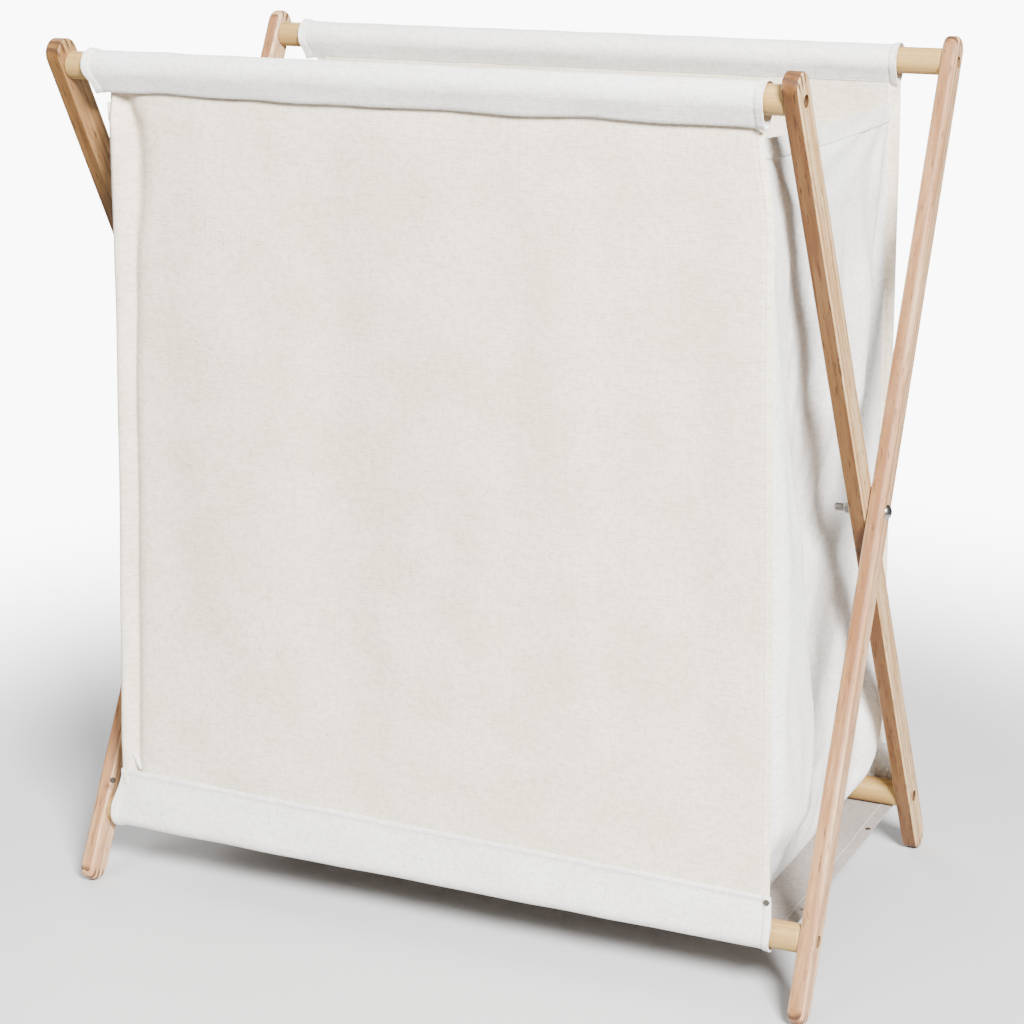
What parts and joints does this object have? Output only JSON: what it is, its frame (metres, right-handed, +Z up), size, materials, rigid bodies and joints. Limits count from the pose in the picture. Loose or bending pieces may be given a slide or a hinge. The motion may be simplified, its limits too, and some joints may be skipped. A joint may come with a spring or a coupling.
{
  "type": "folding laundry hamper",
  "caption": "Folding laundry hamper: a canvas bag slung on the dowel rails of two crossed wooden leg frames that fold about a pivot bolt at each side.",
  "frame": {"origin": "on the floor under the middle of the opened hamper", "axes": "+X along the rails to the right, -Y to the front, +Z up"},
  "size_m": [0.6026, 0.3298, 0.6511],
  "materials": {
    "leg_wood": "satin, open streaked grain",
    "rail_wood": "satin, fine straight grain",
    "bag_canvas": "matt plain weave with slubs",
    "band_canvas": "matt plain weave with slubs",
    "bolt_steel": "polished plating",
    "screw_steel": "zinc plating",
    "stud_metal": "dark plated, satin"
  },
  "bodies": {
    "bag": {"gusset_left": "bag_canvas", "gusset_right": "bag_canvas", "gusset_hem_left": "band_canvas", "gusset_hem_right": "band_canvas", "base_sling": "bag_canvas", "base_studs": "stud_metal"},
    "pivot_bolts": {"pivot_bolt_left": "bolt_steel", "pivot_nut_left": "bolt_steel", "nut_washer_left": "bolt_steel", "spacer_washer_left": "bolt_steel", "pivot_bolt_right": "bolt_steel", "pivot_nut_right": "bolt_steel", "nut_washer_right": "bolt_steel", "spacer_washer_right": "bolt_steel"},
    "inner_frame": {"inner_leg_left": "leg_wood", "inner_leg_right": "leg_wood", "front_top_rail": "rail_wood", "rear_bottom_rail": "rail_wood", "inner_rail_screws": "screw_steel"},
    "outer_frame": {"outer_leg_left": "leg_wood", "outer_leg_right": "leg_wood", "rear_top_rail": "rail_wood", "front_bottom_rail": "rail_wood", "outer_rail_screws": "screw_steel"},
    "front_cloth": {"front_sleeve": "band_canvas", "front_panel": "bag_canvas"},
    "rear_cloth": {"rear_sleeve": "band_canvas", "rear_panel": "bag_canvas"},
    "front_channel": {"front_band": "band_canvas", "front_band_studs": "stud_metal", "front_lining": "bag_canvas"},
    "rear_channel": {"rear_band": "band_canvas", "rear_band_studs": "stud_metal", "rear_lining": "bag_canvas"}
  },
  "joints": [
    {"name": "fold", "type": "hinge", "parent": "pivot_bolts", "child": "inner_frame", "pos_m": [0, 0, 0.32468], "axis": [-1, 0, 0], "range_deg": [0, 18], "deforming": ["gusset_left", "gusset_right", "gusset_hem_left", "gusset_hem_right", "base_sling", "base_studs", "front_panel", "rear_panel", "front_band", "rear_band", "front_lining", "rear_lining", "front_band_studs", "rear_band_studs"]},
    {"name": "pivot_rise", "type": "slide", "parent": "bag", "child": "pivot_bolts", "axis": [0, 0, 1], "range_m": [0, 0.02772]},
    {"name": "outer_fold", "type": "hinge", "parent": "pivot_bolts", "child": "outer_frame", "pos_m": [0, 0, 0.32468], "axis": [1, 0, 0], "range_deg": [0, 18]},
    {"name": "front_cloth_swing", "type": "hinge", "parent": "inner_frame", "child": "front_cloth", "pos_m": [0, -0.14992, 0.63207], "axis": [1, 0, 0], "range_deg": [0, 16.8]},
    {"name": "rear_cloth_swing", "type": "hinge", "parent": "outer_frame", "child": "rear_cloth", "pos_m": [0, 0.14992, 0.63207], "axis": [-1, 0, 0], "range_deg": [0, 16.8]},
    {"name": "front_cloth_draw", "type": "slide", "parent": "front_cloth", "child": "front_channel", "axis": [0, 0.0295, -0.9996], "range_m": [0, 0.05877]},
    {"name": "rear_cloth_draw", "type": "slide", "parent": "rear_cloth", "child": "rear_channel", "axis": [0, -0.0295, -0.9996], "range_m": [0, 0.05877]}
  ],
  "couplings": [
    {"joint": "pivot_rise", "follows": "fold", "m_per_rad": 0.088225},
    {"joint": "outer_fold", "follows": "fold", "ratio": 1},
    {"joint": "front_cloth_swing", "follows": "fold", "ratio": 0.9332},
    {"joint": "rear_cloth_swing", "follows": "fold", "ratio": 0.9332},
    {"joint": "front_cloth_draw", "follows": "fold", "m_per_rad": 0.18708},
    {"joint": "rear_cloth_draw", "follows": "fold", "m_per_rad": 0.18708}
  ]
}
